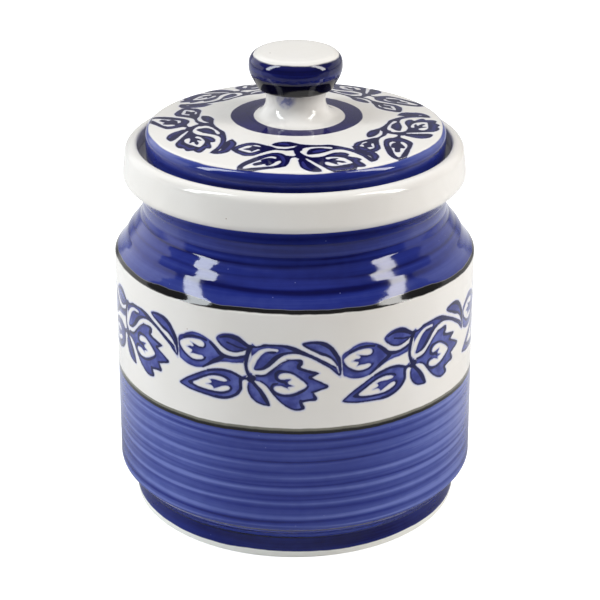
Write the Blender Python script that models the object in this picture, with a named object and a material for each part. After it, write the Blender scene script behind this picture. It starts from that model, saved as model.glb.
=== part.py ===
"""A one-litre glazed ceramic pickle jar.

The body is turned in one piece, with a foot, a straight wall, a sloping shoulder
and a thick rolled collar round the mouth.  The lid drops on a gallery inside the
collar, and its flange keeps it centred in the mouth.  The knob is formed by
itself and is fixed on the lid with slip.

Metres, +Z up, with the origin at the centre of the ring that the jar stands on.
"""
import math

import bmesh
import bpy
from mathutils import Vector

# Jar body, from the foot upwards
BODY_RADIUS = 0.0625
WALL_TAPER = 0.0007
WALL_THICKNESS = 0.0050
FLOOR_THICKNESS = 0.0075
FLOOR_FILLET = 0.0090
FOOT_INSET = 0.0054
FOOT_HEIGHT = 0.0076
FOOT_RING_WIDTH = 0.0085
FOOT_RECESS_DEPTH = 0.0030
FOOT_RECESS_FLARE = 0.0020
FOOT_EDGE_FILLET = 0.0004
FOOT_GROOVE_FILLET = 0.0010
UNDERCUT_HEIGHT = 0.0066
LEDGE_FILLET = 0.0015
SHOULDER_START = 0.0898
SHOULDER_RISE = 0.0142
SHOULDER_INSET = 0.0101
SHOULDER_FILLET = 0.0185
SHOULDER_FOOT_FILLET = 0.0100
NECK_THICKNESS = 0.0062

# Rolled collar and the gallery inside it
JAR_HEIGHT = 0.1290
COLLAR_HEIGHT = 0.0120
COLLAR_OVERHANG = 0.0066
COLLAR_UNDERSIDE_RISE = 0.0018
COLLAR_LEAN = 0.0015
COLLAR_TOP_WIDTH = 0.0039
COLLAR_UNDER_FILLET = 0.0012
COLLAR_LOWER_FILLET = 0.0032
COLLAR_UPPER_FILLET = 0.0030
COLLAR_INNER_FILLET = 0.0008
GALLERY_DEPTH = 0.0052
GALLERY_FILLET = 0.0005
MOUTH_FILLET = 0.0012

# Lid
LID_SIDE_CLEARANCE = 0.0021
LID_SEAT_GAP = 0.0003
LID_EDGE_HEIGHT = 0.0098
LID_EDGE_FILLET = 0.0026
LID_LOWER_FILLET = 0.0008
LID_CROWN = 0.0037
LID_CROWN_POWER = 1.2
LID_PLATE_THICKNESS = 0.0062
FLANGE_CLEARANCE = 0.0015
FLANGE_THICKNESS = 0.0055
FLANGE_DEPTH = 0.0071
FLANGE_FILLET = 0.0010
LID_CEILING_FILLET = 0.0030

# Knob
KNOB_JOINT_GAP = 0.0003
KNOB_HEIGHT = 0.0219
KNOB_RADIUS = 0.0158
KNOB_WAIST_RADIUS = 0.0099
KNOB_FOOT_RADIUS = 0.0150
KNOB_FOOT_EDGE = 0.0005
KNOB_FOOT_FILLET = 0.0045
KNOB_WAIST_TOP = 0.0069
KNOB_HEAD_BOTTOM = 0.0138
KNOB_WAIST_FILLET = 0.0030
KNOB_HEAD_FILLET = 0.0100
KNOB_TOP_FILLET = 0.0030
KNOB_CROWN = 0.0002

# Painted bands
BARE_EDGE_HEIGHT = 0.0020
LOWER_LINE_BOTTOM = 0.0493
PAINTED_LINE_WIDTH = 0.0022
BAND_HEIGHT = 0.0399
UPPER_LINE_WIDTH = 0.0016
RING_INNER_RADIUS = 0.0160
RING_OUTER_RADIUS = 0.0221
KNOB_PAINT_BOTTOM = 0.0090
KNOB_PAINT_TOP_DROP = 0.0006

# Mesh fineness
TURN_STEPS = 60
DOME_STEPS = 4
ARC_SAGITTA = 0.00008
SHARP_ANGLE = math.radians(35)
MERGE_DISTANCE = 0.000001

# Glaze and clay colours, linear
WHITE_GLAZE = (0.76, 0.75, 0.70)
COBALT_GLAZE = (0.030, 0.036, 0.200)
DARK_LINE = (0.017, 0.015, 0.022)
BARE_CLAY = (0.55, 0.55, 0.49)
GLAZE_ROUGHNESS = 0.12
CLAY_ROUGHNESS = 0.80


def remove_objects():
    for obj in list(bpy.data.objects):
        bpy.data.objects.remove(obj, do_unlink=True)


def make_glaze(name, colour, roughness):
    """A Principled material in one glaze or clay colour."""
    material = bpy.data.materials.new(name)
    material.use_nodes = True
    shader = material.node_tree.nodes["Principled BSDF"]
    shader.inputs["Base Color"].default_value = (*colour, 1.0)
    shader.inputs["Roughness"].default_value = roughness
    shader.inputs["Metallic"].default_value = 0.0


def fillet_arc(before, corner, after, radius):
    """Points of the arc that rounds one corner of an outline."""
    into = (before - corner).normalized()
    out_of = (after - corner).normalized()
    opening = into.angle(out_of)
    tangent = radius / math.tan(opening / 2)
    room = min((before - corner).length, (after - corner).length)
    if tangent > room:
        tangent = room
        radius = tangent * math.tan(opening / 2)
    turn = math.pi - opening
    widest_step = 2 * math.acos(max(0.0, 1 - ARC_SAGITTA / radius))
    steps = max(2, math.ceil(turn / widest_step))
    centre = corner + (into + out_of).normalized() * radius / math.sin(opening / 2)
    start = corner + into * tangent - centre
    side = 1 if into.cross(out_of) < 0 else -1
    points = []
    for step in range(steps + 1):
        angle = side * turn * step / steps
        cosine, sine = math.cos(angle), math.sin(angle)
        turned = Vector((start.x * cosine - start.y * sine, start.x * sine + start.y * cosine))
        points.append(centre + turned)
    return points


def rounded_outline(corners):
    """Outline from (radius, height, fillet) corners; a fillet of 0 stays sharp."""
    places = [Vector(corner[:2]) for corner in corners]
    outline = []
    for index, corner in enumerate(corners):
        if corner[2] > 0:
            outline += fillet_arc(places[index - 1], places[index], places[index + 1], corner[2])
        else:
            outline.append(places[index])
    return outline


def turned_solid(name, outline, cut_heights, paint_of):
    """Spins an outline round the Z axis and paints each face with its own glaze."""
    bm = bmesh.new()
    ring = [bm.verts.new((point.x, 0, point.y)) for point in outline]
    edges = [bm.edges.new(pair) for pair in zip(ring, ring[1:])]
    bmesh.ops.spin(bm, geom=ring + edges, cent=(0, 0, 0), axis=(0, 0, 1),
                   angle=2 * math.pi, steps=TURN_STEPS, use_merge=True)
    bmesh.ops.remove_doubles(bm, verts=bm.verts, dist=MERGE_DISTANCE)
    bmesh.ops.recalc_face_normals(bm, faces=bm.faces)
    for height in cut_heights:
        outside = [face for face in bm.faces if faces_out(face)]
        geometry = outside + list({edge for face in outside for edge in face.edges})
        bmesh.ops.bisect_plane(bm, geom=geometry, dist=MERGE_DISTANCE,
                               plane_co=(0, 0, height), plane_no=(0, 0, 1))
    bmesh.ops.triangulate(bm, faces=bm.faces)
    mesh = bpy.data.meshes.new(name)
    slots = {}
    for face in bm.faces:
        paint = paint_of(face)
        if paint not in slots:
            slots[paint] = len(slots)
            mesh.materials.append(bpy.data.materials[paint])
        face.material_index = slots[paint]
    bm.to_mesh(mesh)
    bm.free()
    mesh.shade_smooth()
    mesh.set_sharp_from_angle(angle=SHARP_ANGLE)
    obj = bpy.data.objects.new(name, mesh)
    bpy.context.collection.objects.link(obj)


def faces_out(face):
    """True where a face looks away from the jar's axis."""
    middle = face.calc_center_median()
    return face.normal.x * middle.x + face.normal.y * middle.y > 0


def radius_of(face):
    return face.calc_center_median().xy.length


def height_of(face):
    return face.calc_center_median().z


# Radii and heights that the pieces share
foot_radius = BODY_RADIUS - FOOT_INSET
ledge_height = FOOT_HEIGHT + UNDERCUT_HEIGHT
wall_top_radius = BODY_RADIUS - WALL_TAPER
inner_radius = wall_top_radius - WALL_THICKNESS
floor_height = FOOT_RECESS_DEPTH + FLOOR_THICKNESS
neck_radius = wall_top_radius - SHOULDER_INSET
neck_bottom = SHOULDER_START + SHOULDER_RISE
mouth_radius = neck_radius - NECK_THICKNESS
collar_radius = neck_radius + COLLAR_OVERHANG
collar_bottom = JAR_HEIGHT - COLLAR_HEIGHT
collar_inner_radius = collar_radius - COLLAR_LEAN - COLLAR_TOP_WIDTH
gallery_height = JAR_HEIGHT - GALLERY_DEPTH
lower_line_top = LOWER_LINE_BOTTOM + PAINTED_LINE_WIDTH
upper_line_bottom = lower_line_top + BAND_HEIGHT
upper_line_top = upper_line_bottom + UPPER_LINE_WIDTH

lid_radius = collar_inner_radius - LID_SIDE_CLEARANCE
lid_bottom = gallery_height + LID_SEAT_GAP
lid_shoulder = lid_bottom + LID_EDGE_HEIGHT
lid_land = lid_shoulder + LID_CROWN
lid_ceiling = lid_land - LID_PLATE_THICKNESS
flange_radius = mouth_radius - FLANGE_CLEARANCE
flange_inner_radius = flange_radius - FLANGE_THICKNESS
flange_bottom = lid_bottom - FLANGE_DEPTH

knob_bottom = lid_land + KNOB_JOINT_GAP
knob_top = knob_bottom + KNOB_HEIGHT


def jar_body():
    """One turned wall: inside from the floor up, over the collar, down to the foot."""
    slope = math.atan2(SHOULDER_INSET, SHOULDER_RISE)
    inner_shoulder = SHOULDER_START - WALL_THICKNESS * math.tan(slope / 2)
    inner_neck = inner_shoulder + (inner_radius - mouth_radius) / math.tan(slope)
    recess_radius = foot_radius - FOOT_RING_WIDTH - FOOT_RECESS_FLARE
    outline = rounded_outline([
        (0, floor_height, 0),
        (inner_radius, floor_height, FLOOR_FILLET),
        (inner_radius, inner_shoulder, SHOULDER_FILLET - WALL_THICKNESS),
        (mouth_radius, inner_neck, SHOULDER_FOOT_FILLET),
        (mouth_radius, gallery_height, MOUTH_FILLET),
        (collar_inner_radius, gallery_height, GALLERY_FILLET),
        (collar_inner_radius, JAR_HEIGHT, COLLAR_INNER_FILLET),
        (collar_radius - COLLAR_LEAN, JAR_HEIGHT, COLLAR_UPPER_FILLET),
        (collar_radius, collar_bottom, COLLAR_LOWER_FILLET),
        (neck_radius, collar_bottom - COLLAR_UNDERSIDE_RISE, COLLAR_UNDER_FILLET),
        (neck_radius, neck_bottom, SHOULDER_FOOT_FILLET),
        (wall_top_radius, SHOULDER_START, SHOULDER_FILLET),
        (BODY_RADIUS, ledge_height, LEDGE_FILLET),
        (foot_radius, FOOT_HEIGHT, FOOT_GROOVE_FILLET),
        (foot_radius, 0, FOOT_EDGE_FILLET),
        (foot_radius - FOOT_RING_WIDTH, 0, FOOT_EDGE_FILLET),
        (recess_radius, FOOT_RECESS_DEPTH, FOOT_GROOVE_FILLET),
        (0, FOOT_RECESS_DEPTH, 0),
    ])

    def paint_of(face):
        height = height_of(face)
        if not faces_out(face):
            return "bare_clay" if height < floor_height - MERGE_DISTANCE else "white_glaze"
        bands = (
            (BARE_EDGE_HEIGHT, "bare_clay"),
            (LOWER_LINE_BOTTOM, "cobalt_glaze"),
            (lower_line_top, "dark_line"),
            (upper_line_bottom, "white_glaze"),
            (upper_line_top, "dark_line"),
            (collar_bottom - COLLAR_UNDERSIDE_RISE, "cobalt_glaze"),
        )
        for top, paint in bands:
            if height < top:
                return paint
        return "white_glaze"

    cuts = (BARE_EDGE_HEIGHT, LOWER_LINE_BOTTOM, lower_line_top, upper_line_bottom, upper_line_top)
    turned_solid("jar_body", outline, cuts, paint_of)


def lid():
    """A domed disc with a thick edge, and the flange that drops into the mouth."""
    outline = rounded_outline([
        (0, lid_ceiling, 0),
        (flange_inner_radius, lid_ceiling, LID_CEILING_FILLET),
        (flange_inner_radius, flange_bottom, FLANGE_FILLET),
        (flange_radius, flange_bottom, FLANGE_FILLET),
        (flange_radius, lid_bottom, 0),
        (lid_radius, lid_bottom, LID_LOWER_FILLET),
        (lid_radius, lid_shoulder, LID_EDGE_FILLET),
        (RING_OUTER_RADIUS, dome_height(RING_OUTER_RADIUS), 0),
    ])[:-1]
    dome_edge = outline[-1].x
    for step in range(1, DOME_STEPS + 1):
        radius = dome_edge + (RING_OUTER_RADIUS - dome_edge) * step / DOME_STEPS
        outline.append(Vector((radius, dome_height(radius))))
    outline.append(Vector((RING_INNER_RADIUS, lid_land)))
    outline.append(Vector((0, lid_land)))

    def paint_of(face):
        radius = radius_of(face)
        if height_of(face) < lid_bottom + MERGE_DISTANCE:
            return "bare_clay"
        on_edge = radius > dome_edge and faces_out(face)
        on_ring = face.normal.z > 0 and RING_INNER_RADIUS < radius < RING_OUTER_RADIUS
        return "cobalt_glaze" if on_edge or on_ring else "white_glaze"

    turned_solid("lid", outline, (), paint_of)


def dome_height(radius):
    """Height of the lid's top: flat under the knob, then falling to its edge."""
    share = (radius - RING_INNER_RADIUS) / (lid_radius - RING_INNER_RADIUS)
    return lid_land - LID_CROWN * share ** LID_CROWN_POWER


def lid_knob():
    """A mushroom knob with a flared foot, a waist and a flat top."""
    head_height = knob_bottom + KNOB_HEAD_BOTTOM
    rim_height = knob_top - KNOB_CROWN
    outline = rounded_outline([
        (0, knob_bottom, 0),
        (KNOB_FOOT_RADIUS, knob_bottom, 0),
        (KNOB_FOOT_RADIUS, knob_bottom + KNOB_FOOT_EDGE, 0),
        (KNOB_WAIST_RADIUS, knob_bottom + KNOB_FOOT_EDGE, KNOB_FOOT_FILLET),
        (KNOB_WAIST_RADIUS, knob_bottom + KNOB_WAIST_TOP, KNOB_WAIST_FILLET),
        (KNOB_RADIUS, head_height, KNOB_HEAD_FILLET),
        (KNOB_RADIUS, rim_height, KNOB_TOP_FILLET),
        (0, knob_top, 0),
    ])

    paint_bottom = knob_bottom + KNOB_PAINT_BOTTOM
    paint_top = rim_height - KNOB_PAINT_TOP_DROP

    def paint_of(face):
        return "cobalt_glaze" if paint_bottom < height_of(face) < paint_top else "white_glaze"

    turned_solid("lid_knob", outline, (paint_bottom, paint_top), paint_of)


def build():
    remove_objects()
    make_glaze("white_glaze", WHITE_GLAZE, GLAZE_ROUGHNESS)
    make_glaze("cobalt_glaze", COBALT_GLAZE, GLAZE_ROUGHNESS)
    make_glaze("dark_line", DARK_LINE, GLAZE_ROUGHNESS)
    make_glaze("bare_clay", BARE_CLAY, CLAY_ROUGHNESS)
    jar_body()
    lid()
    lid_knob()


build()
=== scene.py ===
"""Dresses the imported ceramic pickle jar: glazes, painted bands, printed flowers and the studio."""

import math

import bmesh
import bpy
import numpy as np
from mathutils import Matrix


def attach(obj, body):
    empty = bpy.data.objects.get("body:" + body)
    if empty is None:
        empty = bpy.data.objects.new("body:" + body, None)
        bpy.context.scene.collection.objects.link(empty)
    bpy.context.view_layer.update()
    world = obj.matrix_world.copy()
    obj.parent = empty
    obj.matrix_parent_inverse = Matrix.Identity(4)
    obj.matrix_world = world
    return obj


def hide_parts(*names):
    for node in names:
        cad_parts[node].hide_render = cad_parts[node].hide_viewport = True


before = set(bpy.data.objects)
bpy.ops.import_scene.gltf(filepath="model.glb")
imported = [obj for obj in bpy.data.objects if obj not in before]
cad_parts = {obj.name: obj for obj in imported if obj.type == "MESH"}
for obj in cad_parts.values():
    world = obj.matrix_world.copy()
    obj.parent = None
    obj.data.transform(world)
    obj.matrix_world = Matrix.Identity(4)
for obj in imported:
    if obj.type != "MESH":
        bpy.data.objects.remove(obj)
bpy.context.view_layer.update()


# Jar body
# One wall thrown on a wheel, from the floor inside, over the rolled collar, down to the foot ring.
# White glaze all over, then cobalt brushed on the shoulder and the lower wall while it turned.
# The throwing rings stay in the clay, and the glaze is wiped off under the foot before firing.
MM = 0.001
TURN_STEPS = 240
FINE_ROW = 0.0005
COARSE_ROW = 0.0040
# Steps to each radian of a fillet 1 mm in radius; a larger fillet takes more.
FILLET_STEPS = 2.2
SHARP_ANGLE = math.radians(40)
MERGE_GAP = 0.000001
SHOULDER_START = 0.0912
SHOULDER_RADIUS = 0.0618
WALL_FOOT = 0.0142
WALL_FOOT_RADIUS = 0.06243
# Behind these lies the inside of the wall: its radius, how much it draws in to a rise of 1 up the
# shoulder, and its radius in the neck.
INSIDE_RADIUS = 0.0593
SHOULDER_DRAW = 0.71
NECK_INSIDE_RADIUS = 0.0485
# The rings are cut from under the collar down to the ledge, and on round the foot.
RINGS_TOP = 0.1149
LEDGE_TOP = 0.0145
FOOT_INSIDE_RADIUS = 0.0560
# Corners of the wall's outline in metres: radius, height and fillet.
JAR_CORNERS = (
    (0, 0.0105, 0),
    (0.0568, 0.0105, 0.0090),
    (0.0568, 0.0882, 0.0135),
    (0.0455, 0.1041, 0.0100),
    (0.0455, 0.1238, 0.0012),
    (0.0529, 0.1238, 0.0005),
    (0.0529, 0.1290, 0.0008),
    (0.0568, 0.1290, 0.0030),
    (0.0583, 0.1170, 0.0028),
    (0.0546, 0.11597, 0.0012),
    (0.0518, 0.1108, 0.0020),
    (0.0518, 0.1066, 0.0010),
    (0.0526, 0.1039, 0.0012),
    (0.0536, 0.1026, 0.0100),
    (0.0550, 0.1006, 0.0100),
    (0.0570, 0.0982, 0.0012),
    (0.05845, 0.0956, 0.0150),
    (0.0600, 0.0933, 0.0100),
    (SHOULDER_RADIUS, SHOULDER_START, 0.0010),
    (WALL_FOOT_RADIUS, WALL_FOOT, 0.0015),
    (0.0571, 0.0076, 0.0010),
    (0.0571, 0, 0.0004),
    (0.0486, 0, 0.0004),
    (0.0466, 0.0030, 0.0010),
    (0, 0.0030, 0),
)
# Throwing rings: height, half width and depth in mm, and how much darker the glaze is there.
# A depth or darkness below 0 is a ridge, or thin glaze on one. Rows marked below are painted shade and
# highlight.
WALL_RINGS = (
    # Painted shade: the neck darker under the collar.
    (113.6, 1.4, 0.00, 0.20),
    (110.9, 0.4, 0.02, 0.16),
    (108.2, 1.0, 0.00, -0.10),
    (106.6, 0.5, 0.04, 0.24),
    (104.2, 0.6, 0.00, 0.24),
    (100.8, 0.5, 0.02, 0.20),
    (97.6, 0.8, 0.00, 0.24),
    (94.8, 1.8, 0.00, -0.10),
    (48.2, 0.5, 0.00, -0.23),
    (47.0, 0.5, 0.03, 0.27),
    (46.0, 0.4, 0.00, -0.19),
    (43.8, 0.4, 0.02, 0.23),
    (42.4, 0.5, -0.01, -0.13),
    (40.9, 0.5, 0.00, -0.13),
    (39.5, 0.4, 0.03, 0.27),
    (38.2, 0.6, -0.01, -0.23),
    (35.0, 0.5, 0.03, 0.19),
    (33.7, 0.6, -0.01, -0.28),
    (31.8, 0.4, 0.02, 0.23),
    (30.3, 0.4, 0.03, 0.34),
    (28.9, 0.7, -0.01, -0.30),
    (27.2, 0.4, 0.03, 0.23),
    (25.3, 0.4, 0.02, 0.19),
    (23.7, 0.6, -0.02, -0.30),
    (22.1, 0.7, 0.05, 0.27),
    (18.8, 1.0, -0.02, -0.28),
    (17.1, 0.6, 0.04, 0.34),
    # Painted highlight, partly thin glaze: the ledge's edge lighter.
    (15.1, 0.35, -0.05, -0.50),
    (13.3, 0.4, 0.04, 0.40),
    (11.3, 0.4, 0.04, 0.40),
    (9.4, 0.8, 0.00, -0.10),
    # Painted shade: the foot darker, as the floor in the jar's shadow shows in its gloss.
    (7.8, 0.7, 0.00, 0.50),
    (6.4, 0.5, 0.00, 0.10),
    (3.6, 2.0, 0.00, 0.34),
)
# How the hand rocked as the jar turned: waves to a turn, how far in mm, where they start, and how
# much later they come on each next ring.
HAND_TILT = ((1, 0.25, 0.6, 0), (2, 0.15, 2.1, 0))
HAND_WANDER = ((3, 0.22, 0, 1.7), (7, 0.12, 0, 2.9))
# The share of a ring's darkness that shows, and how it changes round the jar in the same way.
POOL_SHARE = 0.8
POOL_WAVES = ((2, 0.3, 0, 2.3),)
# The fingers' finest marks: depth and spacing in mm, and how far they lean.
FINGER_DEPTH = 0.005
FINGER_SPACING = 1.3
FINGER_LEAN = 0.5
# Paint, by height in mm: the foot is wiped bare up to the first, the dark lines lie between the next
# two pairs, and the blue of the shoulder ends under the collar.
BARE_EDGE = 2.0
LOWER_LINE = (49.2, 51.4)
UPPER_LINE = (91.2, 92.3)
NECK_PAINT_TOP = 115.9
# Below this height in mm, what doesn't face outwards is the hollow under the foot.
FOOT_HOLLOW_TOP = 9.0
# How the painted edges wander: waves to the metre, their detail, and how far in mm.
BAND_WANDER = ((22, 1, 1.6), (150, 2, 0.5))
# The upper dark line is wider at the sides, partly paint and partly painted dark reflection: from
# and to, in metres from the middle, and how much in mm.
LINE_WIDENS = (0.024, 0.032, 0.0, 0.8)
LINE_NARROWS = (0.050, 0.042)
# Streaks of the brush: how many to the metre, how many times finer upward, and how strong.
BRUSH_STREAKS = ((14, 36, 0.22), (26, 52, 0.14), (16, 1, 0.24), (260, 1.5, 0.08))
BRUSH_CONTRAST = 1.3
# The cobalt is lighter, from and to, with the tone it adds at each: down the wall by height in mm, and as
# painted light to the left and right by X in metres, where the side lamps fall, less on the shoulder and
# not on the foot.
THIN_DOWN = (95, 50, -0.04, 0.11)
THIN_LEFT = (0.0, -0.055, 0.0, 0.22)
THIN_RIGHT = (0.015, 0.055, 0.0, 0.24)
SIDES_ON_SHOULDER = (95, 50, 0.4, 1.0)
SIDES_ON_FOOT = (10, 16)
# Clouds in the finishes: how many to the metre, their detail, and how many times finer each way.
WHITE_CLOUDS = (38, 3)
LINE_CLOUDS = (90, 3, (1, 1, 6))
CLAY_CLOUDS = (300, 4)
GLOSS_CLOUDS = (120, 3)
SKIN_CLOUDS = (420, 3)
# Glaze colours, as 0 to 255 on a screen.
WHITE_GLAZE = ((222, 217, 210), (231, 228, 225))
COBALT_GLAZE = (
    (0, (2, 2, 14)), (0.25, (8, 12, 78)), (0.5, (30, 42, 123)), (0.8, (65, 77, 148)), (1, (100, 112, 178)),
)
DARK_LINE = ((3, 3, 8), (24, 22, 22))
SOFT_LINE = (150, 148, 134)
SOFT_LINE_SHARE = 0.6
BARE_CLAY = ((240, 239, 231), (250, 249, 242))
# Specks in a glaze: how many to the metre, radius as a share of their spacing, how many of them
# show, how strongly, and their colour. The core is the share of the radius that has it in full.
IRON_SPECKS = (
    (230, 0.05, 0.12, 1.0, (150, 124, 108)),
    (110, 0.028, 0.14, 1.0, (96, 76, 74)),
)
COBALT_SPECKS = ((420, 0.10, 0.12, 0.5, (120, 128, 190)),)
SPECK_CORE = 0.6
# The glaze's roughness by its clouds, from and to, and the waves of its skin. Bare clay is rougher.
GLAZE_GLOSS = (0.35, 0.75, 0.05, 0.11)
SKIN_STRENGTH = 0.25
SKIN_WAVES = 0.00008
CLAY_ROUGHER = 0.7
GLAZE_IOR = 1.45


def rounded_wire(corners, fine):
    """A wire of (radius, height, fillet) corners, with short rows where fine is true."""
    bm = bmesh.new()
    verts = [bm.verts.new((radius, 0, height)) for radius, height, fillet in corners]
    for pair in zip(verts, verts[1:]):
        bm.edges.new(pair)
    places = [vert.co.copy() for vert in verts]
    for index, corner in enumerate(corners):
        if corner[2] > 0:
            opening = (places[index - 1] - places[index]).angle(places[index + 1] - places[index])
            steps = max(3, math.ceil((math.pi - opening) * math.sqrt(corner[2] / MM) * FILLET_STEPS))
            bmesh.ops.bevel(bm, geom=[verts[index]], affect="VERTICES", offset_type="OFFSET",
                            offset=corner[2] / math.tan(opening / 2),
                            segments=steps, profile=0.5, material=-1)
    for edge in list(bm.edges):
        middle = (edge.verts[0].co + edge.verts[1].co) / 2
        row = FINE_ROW if fine(middle) else COARSE_ROW
        cuts = math.ceil(edge.calc_length() / row) - 1
        if cuts > 0:
            bmesh.ops.subdivide_edges(bm, edges=[edge], cuts=cuts)
    return bm


def turned_piece(corners, fine, name, material):
    """Spins a rounded wire round the Z axis into a closed wall."""
    bm = rounded_wire(corners, fine)
    bmesh.ops.spin(bm, geom=bm.verts[:] + bm.edges[:], cent=(0, 0, 0), axis=(0, 0, 1),
                   angle=math.tau, steps=TURN_STEPS, use_merge=True)
    bmesh.ops.remove_doubles(bm, verts=bm.verts, dist=MERGE_GAP)
    bmesh.ops.recalc_face_normals(bm, faces=bm.faces)
    return piece_from(bm, name, material)


def piece_from(bm, name, material):
    """Makes a smooth-shaded object from a bmesh."""
    mesh = bpy.data.meshes.new(name)
    bm.to_mesh(mesh)
    bm.free()
    mesh.shade_smooth()
    mesh.set_sharp_from_angle(angle=SHARP_ANGLE)
    mesh.materials.append(material)
    piece = bpy.data.objects.new(name, mesh)
    bpy.context.collection.objects.link(piece)
    return piece


def points_of(piece):
    points = np.empty(len(piece.data.vertices) * 3)
    piece.data.vertices.foreach_get("co", points)
    return points.reshape(-1, 3)


def move_points(piece, points):
    piece.data.vertices.foreach_set("co", points.ravel())
    piece.data.update()


def round_axis(points):
    """Each point's distance from the axis, and its angle round it from the front."""
    return np.hypot(points[:, 0], points[:, 1]), np.arctan2(points[:, 0], -points[:, 1])


def move_out(points, radius, moved):
    """Moves points straight away from the axis."""
    points[:, 0] *= 1 + moved / np.maximum(radius, MM)
    points[:, 1] *= 1 + moved / np.maximum(radius, MM)


def keep_values(piece, name, values):
    """Stores one number per vertex for the material to read."""
    layer = piece.data.attributes.new(name, "FLOAT", "POINT")
    layer.data.foreach_set("value", values.astype(np.float32))


def rocked(angle, waves, turn=0):
    """How far the hand's waves go at each angle."""
    return sum(far * np.sin(count * angle + start + later * turn) for count, far, start, later in waves)


def throwing_rings(angle, height, rings):
    """How deep the rings cut at each angle and height, in metres, and how much darker the glaze shows
    there, from pooling and from painted shade and highlight.
    """
    level = height / MM + rocked(angle, HAND_TILT)
    depth = np.zeros_like(level)
    pooled = np.zeros_like(level)
    for turn, (ring, half_width, deep, dark) in enumerate(rings):
        wander = ring + rocked(angle, HAND_WANDER, turn)
        groove = np.exp(-((level - wander) / half_width) ** 2)
        depth += deep * groove
        pooled += dark * groove * (POOL_SHARE + rocked(angle, POOL_WAVES, turn))
    return depth * MM, pooled


def wall_move(angle, height):
    """How far the outer wall stands out from its plain turned outline, in metres."""
    fingers = FINGER_DEPTH * np.sin(height / MM / FINGER_SPACING + FINGER_LEAN * np.sin(angle))
    return fingers * MM - throwing_rings(angle, height, WALL_RINGS)[0]


def screen(red, green, blue):
    """The linear colour of the 0 to 255 values that it shows on a screen."""
    return tuple(((part / 255 + 0.055) / 1.055) ** 2.4 if part > 10 else part / 255 / 12.92
                 for part in (red, green, blue)) + (1.0,)


def new_material(name):
    material = bpy.data.materials.new(name)
    material.use_nodes = True
    tree = material.node_tree
    tree.nodes["Principled BSDF"].inputs["IOR"].default_value = GLAZE_IOR
    return material, tree


def add(tree, kind, *inputs, **settings):
    """Adds one shader node; each input is a (socket, value or output) pair."""
    made = tree.nodes.new("ShaderNode" + kind)
    for setting, value in settings.items():
        setattr(made, setting, value)
    for socket, value in inputs:
        if isinstance(value, bpy.types.NodeSocket):
            tree.links.new(value, made.inputs[socket])
        else:
            made.inputs[socket].default_value = value
    return made


def calc(tree, operation, first, second=0.0):
    return add(tree, "Math", (0, first), (1, second), operation=operation).outputs[0]


def times(tree, first, second):
    return calc(tree, "MULTIPLY", first, second)


def plus(tree, first, second):
    return calc(tree, "ADD", first, second)


def kept_value(tree, name):
    """A number that keep_values stored."""
    return add(tree, "Attribute", attribute_name=name).outputs["Fac"]


def rise(tree, value, start, end, low=0.0, high=1.0):
    """Goes smoothly from low to high as value goes from start to end."""
    return add(tree, "MapRange", ("Value", value), ("From Min", start), ("From Max", end),
               ("To Min", low), ("To Max", high), interpolation_type="SMOOTHSTEP").outputs[0]


def mix(tree, share, under, over):
    return add(tree, "Mix", (0, share), (6, under), (7, over), data_type="RGBA").outputs[2]


def scaled(tree, place, by):
    return add(tree, "VectorMath", (0, place), (1, by), operation="MULTIPLY").outputs[0]


def gap_from(tree, place, by, spot):
    """Distance of a place, scaled by the given numbers, from a spot."""
    off = add(tree, "VectorMath", (0, scaled(tree, place, by)), (1, spot), operation="SUBTRACT").outputs[0]
    return add(tree, "VectorMath", (0, off), operation="LENGTH").outputs["Value"]


def parts_of(tree, place):
    """The X, Y and Z outputs of a place, and its height in mm."""
    parts = add(tree, "SeparateXYZ", ("Vector", place)).outputs
    return parts, times(tree, parts["Z"], 1 / MM)


def cloud(tree, place, scale, detail, stretch=(1, 1, 1)):
    """Soft noise from 0 to 1, with about scale clouds to the metre."""
    spread = scaled(tree, place, stretch)
    return add(tree, "TexNoise", ("Vector", spread), ("Scale", scale), ("Detail", detail)).outputs["Fac"]


def drift(tree, place, scale, detail, strength, stretch=(1, 1, 1)):
    """Soft noise round 0, for what wanders or clouds either way."""
    either_way = calc(tree, "SUBTRACT", cloud(tree, place, scale, detail, stretch), 0.5)
    return times(tree, either_way, strength)


def blend(tree, share, ends):
    """A colour between two that are given as they show on a screen."""
    return mix(tree, share, screen(*ends[0]), screen(*ends[1]))


def speckled(tree, place, colour, kinds):
    """A colour with small round specks in it, each kind in some of its own cells."""
    for per_metre, radius, share, strength, speck in kinds:
        cells = add(tree, "TexVoronoi", ("Vector", place), ("Scale", per_metre))
        luck = add(tree, "SeparateColor", ("Color", cells.outputs["Color"])).outputs[0]
        spot = rise(tree, cells.outputs["Distance"], radius, radius * SPECK_CORE, 0.0, strength)
        chosen = times(tree, spot, calc(tree, "LESS_THAN", luck, share))
        colour = mix(tree, chosen, colour, screen(*speck))
    return colour


def ramp(tree, share, stops):
    """A colour for each share from 0 to 1, from (share, colour) stops."""
    made = add(tree, "ValToRGB", ("Fac", share))
    elements = made.color_ramp.elements
    elements[0].position, elements[0].color = stops[0]
    elements[1].position, elements[1].color = stops[-1]
    for position, colour in stops[1:-1]:
        elements.new(position).color = colour
    return made.outputs["Color"]


def white_glaze(tree, place):
    """Warm white glaze with faint clouds and a few brown iron specks."""
    return speckled(tree, place, blend(tree, cloud(tree, place, *WHITE_CLOUDS), WHITE_GLAZE), IRON_SPECKS)


def cobalt(tree, tone):
    """Cobalt glaze by tone: black-blue where it is thick or pooled, periwinkle where it is thin."""
    return ramp(tree, tone, tuple((share, screen(*colour)) for share, colour in COBALT_GLAZE))


def brushed(tree, place, pooled, contrast=BRUSH_CONTRAST):
    """Tone of cobalt brushed on a turning jar: streaks along the turn, clouds, and dark pools, and any
    painted shade and highlight given with them.
    """
    tone = 0.5
    for scale, upward, strength in BRUSH_STREAKS:
        streaks = drift(tree, place, scale, 2, strength * contrast, (1, 1, upward))
        tone = plus(tree, tone, streaks)
    return calc(tree, "SUBTRACT", tone, pooled)


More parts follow.
